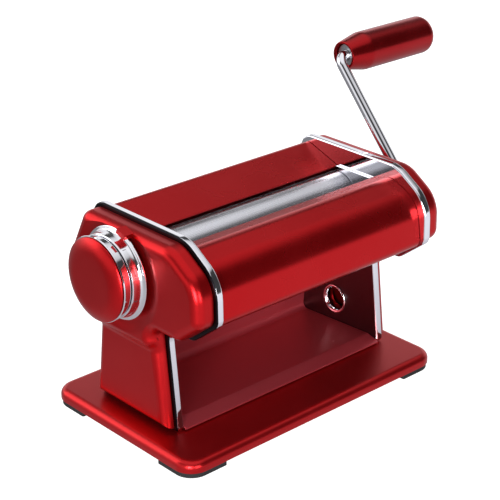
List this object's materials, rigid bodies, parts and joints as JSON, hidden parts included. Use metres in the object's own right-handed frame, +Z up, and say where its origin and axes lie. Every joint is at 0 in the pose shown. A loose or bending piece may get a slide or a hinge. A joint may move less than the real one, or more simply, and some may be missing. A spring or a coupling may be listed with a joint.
{
  "type": "pasta roller machine",
  "caption": "Hand-cranked dough sheeter on a flat base: rollers between polished side frames under bent covers, a dial that sets their gap, and a bent crank with a tapered grip.",
  "frame": {"origin": "centre of the bounding box, on the surface the rubber feet stand on", "axes": "+X along the rollers from the dial to the crank, +Y from the side where the sheet comes out to the rear, +Z up"},
  "size_m": [0.2966, 0.1268, 0.1859],
  "materials": {
    "base_red": "satin metallic lacquer",
    "sheet_red": "glossy metallic lacquer",
    "tray_red": "glossy metallic lacquer",
    "cover_red": "glossy metallic lacquer",
    "casing_red": "satin metallic lacquer",
    "frame_chrome": "mirror polished plate",
    "guard_chrome": "mirror polished sheet",
    "trim_chrome": "polished turned plating",
    "crank_chrome": "polished round bar",
    "roller_satin": "fine ground satin",
    "steel": "plain turned steel",
    "bronze": "sintered bearing metal",
    "nylon": "moulded",
    "rubber": "moulded black",
    "dial_chrome": "polished turned plating with engraved numbers",
    "cap_red": "satin metallic lacquer",
    "grip_red": "metallic lacquer on moulding"
  },
  "bodies": {
    "machine": {"base_plate": "base_red", "foot_front_left": "rubber", "foot_front_right": "rubber", "foot_rear_left": "rubber", "foot_rear_right": "rubber", "base_screw_front_left": "steel", "base_screw_front_right": "steel", "base_screw_rear_left": "steel", "base_screw_rear_right": "steel", "chute_panel": "sheet_red", "rear_cover": "sheet_red", "feed_tray": "tray_red", "front_cover": "cover_red", "casing_left": "casing_red", "casing_right": "casing_red", "index_tab": "casing_red", "side_frame_left": "frame_chrome", "side_frame_right": "frame_chrome", "roller_guard_left": "guard_chrome", "roller_guard_right": "guard_chrome", "clamp_eyelet": "trim_chrome", "tie_rod_front": "steel", "tie_rod_rear_low": "steel", "tie_rod_rear_high": "steel", "tie_nut_front_left": "steel", "tie_nut_front_right": "steel", "tie_nut_rear_low_left": "steel", "tie_nut_rear_low_right": "steel", "tie_nut_rear_high_left": "steel", "tie_nut_rear_high_right": "steel", "front_scraper": "steel", "detent_pin": "steel", "front_bush_left": "bronze", "front_bush_right": "bronze", "knob_bush": "nylon"},
    "drive_roller": {"front_roller": "roller_satin", "front_gear": "steel"},
    "crank": {"crank_rod": "crank_chrome", "crank_collar": "steel"},
    "grip": {"crank_grip": "grip_red"},
    "gap_carriage": {"adjuster_block_left": "bronze", "adjuster_block_right": "bronze", "rear_scraper": "steel"},
    "rear_roller": {"rear_roller": "roller_satin", "rear_gear": "steel"},
    "knob_shaft": {"knob_shaft": "steel", "knob_screw": "steel", "knob_spring": "steel"},
    "knob": {"knob_body": "steel", "dial_ring": "dial_chrome", "knob_band": "trim_chrome", "knob_rim": "trim_chrome", "knob_cap": "cap_red"}
  },
  "joints": [
    {"name": "crank_turn", "type": "hinge", "parent": "machine", "child": "drive_roller", "pos_m": [-0.0347, -0.02734, 0.1007], "axis": [1, 0, 0], "continuous": true},
    {"name": "crank_pull", "type": "slide", "parent": "drive_roller", "child": "crank", "axis": [1, 0, 0], "range_m": [0, 0.018]},
    {"name": "grip_spin", "type": "hinge", "parent": "crank", "child": "grip", "pos_m": [0.1113, 0.03611, 0.17394], "axis": [1, 0, 0], "continuous": true},
    {"name": "gap_slide", "type": "slide", "parent": "machine", "child": "gap_carriage", "axis": [0, -1, 0], "range_m": [0, 0.00446]},
    {"name": "rear_roller_spin", "type": "hinge", "parent": "gap_carriage", "child": "rear_roller", "pos_m": [-0.0347, 0.00547, 0.1007], "axis": [1, 0, 0], "continuous": true},
    {"name": "knob_turn", "type": "hinge", "parent": "machine", "child": "knob_shaft", "pos_m": [-0.1347, 0.00547, 0.1007], "axis": [-1, 0, 0], "range_deg": [0, 324]},
    {"name": "knob_pull", "type": "slide", "parent": "knob_shaft", "child": "knob", "axis": [-1, 0, 0], "range_m": [0, 0.004], "stiffness_N_per_m": 1500, "springref_m": -0.003}
  ],
  "couplings": [
    {"joint": "rear_roller_spin", "follows": "crank_turn", "ratio": -1},
    {"joint": "knob_turn", "follows": "gap_slide", "rad_per_m": 1265}
  ]
}
